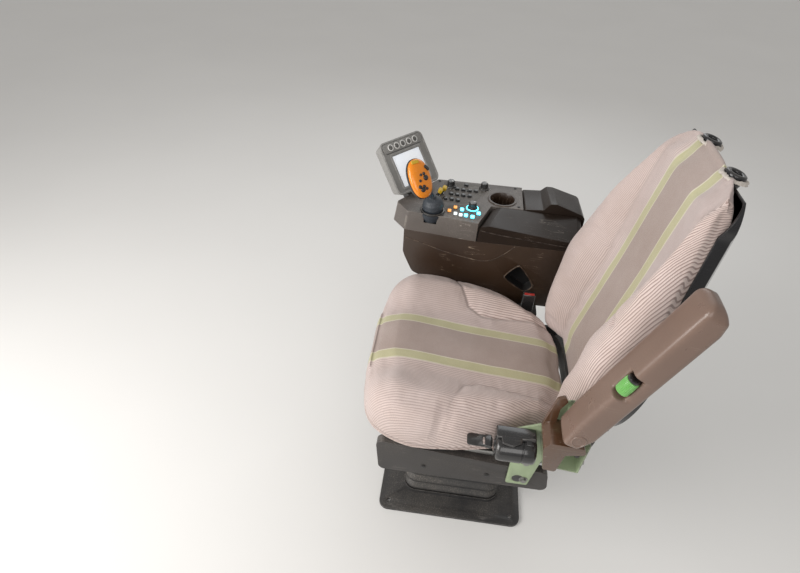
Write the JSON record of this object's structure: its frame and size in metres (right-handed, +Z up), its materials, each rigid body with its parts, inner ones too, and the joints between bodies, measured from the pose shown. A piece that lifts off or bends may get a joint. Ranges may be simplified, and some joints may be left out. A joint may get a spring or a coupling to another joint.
{
  "type": "operator seat with armrest console",
  "caption": "Suspension seat with reclining back, fold-up armrest, belt retractor and an armrest console that carries a control deck, a lever and a tilting monitor.",
  "frame": {"origin": "centre of the floor bolt pattern, on the underside of the floor plate", "axes": "+Z up, the seat faces -Y, the operator's left is +X and the console is on -X"},
  "size_m": [0.9534, 0.8303, 1.1942],
  "materials": {
    "floor_steel": "satin black paint",
    "boot_rubber": "matt, dusty in the folds",
    "frame_paint": "satin black paint",
    "rail_steel": "zinc plated",
    "seat_fabric": "woven, pinstriped, worn",
    "shell_plastic": "glossy moulding",
    "guide_plastic": "satin black",
    "shield_plastic": "grained",
    "armrest_plastic": "grained, satin",
    "hinge_cover_plastic": "glossy, scuffed",
    "green_paint": "pale green gloss",
    "belt_plastic": "glossy black",
    "belt_steel": "black oxide, worn",
    "buckle_red": "satin black",
    "wheel_green": "ribbed",
    "wheel_black": "satin",
    "console_plastic": "scratched satin brown",
    "pocket_plastic": "matt black",
    "deck_plastic": "speckled, satin",
    "lid_skin": "glossy padded skin",
    "button_black": "satin",
    "key_lit": "lit caps",
    "knob_lit": "lit cap",
    "selector_yellow": "satin",
    "ball_rubber": "satin",
    "stalk_paint": "blue-black gloss",
    "grip_orange": "satin",
    "grip_black": "grained",
    "monitor_plastic": "grained grey",
    "screen_white": "lit panel",
    "monitor_key": "ringed caps"
  },
  "bodies": {
    "base": {"floor_plate": "floor_steel", "suspension_boot": "boot_rubber", "suspension_frame": "frame_paint", "lower_rails": "rail_steel"},
    "seat": {"upper_rails": "rail_steel", "seat_carrier": "frame_paint", "seat_pan": "frame_paint", "seat_cushion": "seat_fabric", "side_shields": "shield_plastic", "slide_handle": "frame_paint", "recline_brackets": "frame_paint", "armrest_bracket": "green_paint", "armrest_cover": "hinge_cover_plastic", "belt_retractor": "belt_plastic", "belt_tongue": "belt_steel", "belt_buckle": "buckle_red", "buckle_stalk": "belt_steel", "console_bracket": "frame_paint", "console_body": "console_plastic", "side_pocket": "pocket_plastic", "control_deck": "deck_plastic", "cup_holder": "deck_plastic", "console_rear_cap": "lid_skin", "push_buttons": "button_black", "rotary_knobs": "button_black", "lit_knob": "knob_lit", "lit_keys": "key_lit", "selector_levers": "selector_yellow", "lever_collar": "deck_plastic", "monitor_bracket": "frame_paint"},
    "backrest": {"back_frame": "frame_paint", "back_shell": "shell_plastic", "back_cushion": "seat_fabric", "headrest_guides": "guide_plastic"},
    "armrest": {"armrest_body": "armrest_plastic", "armrest_wheel": "wheel_green", "armrest_wheel_cap": "wheel_black"},
    "lid": {"console_lid": "lid_skin"},
    "lever": {"lever_ball": "ball_rubber", "lever_stalk": "stalk_paint", "grip_face": "grip_orange", "grip_back": "grip_black"},
    "monitor": {"monitor_case": "monitor_plastic", "monitor_screen": "screen_white", "monitor_keys": "monitor_key"}
  },
  "joints": [
    {"name": "seat_slide", "type": "slide", "parent": "base", "child": "seat", "axis": [0, 1, 0], "range_m": [-0.07, 0.07]},
    {"name": "back_recline", "type": "hinge", "parent": "seat", "child": "backrest", "pos_m": [0, 0.29, 0.515], "axis": [-1, 0, 0], "range_deg": [-10, 15]},
    {"name": "armrest_fold", "type": "hinge", "parent": "seat", "child": "armrest", "pos_m": [0.285, 0.222, 0.662], "axis": [1, 0, 0], "range_deg": [0, 112]},
    {"name": "console_lid", "type": "hinge", "parent": "seat", "child": "lid", "pos_m": [-0.361, 0.324, 0.728], "axis": [-1, 0, 0], "range_deg": [0, 75]},
    {"name": "drive_lever", "type": "hinge", "parent": "seat", "child": "lever", "pos_m": [-0.358, -0.156, 0.78], "axis": [1, 0, 0], "range_deg": [-15, 15]},
    {"name": "monitor_tilt", "type": "hinge", "parent": "seat", "child": "monitor", "pos_m": [-0.49137, -0.25905, 0.79643], "axis": [-0.788, 0.6157, 0], "range_deg": [-15, 10]}
  ]
}
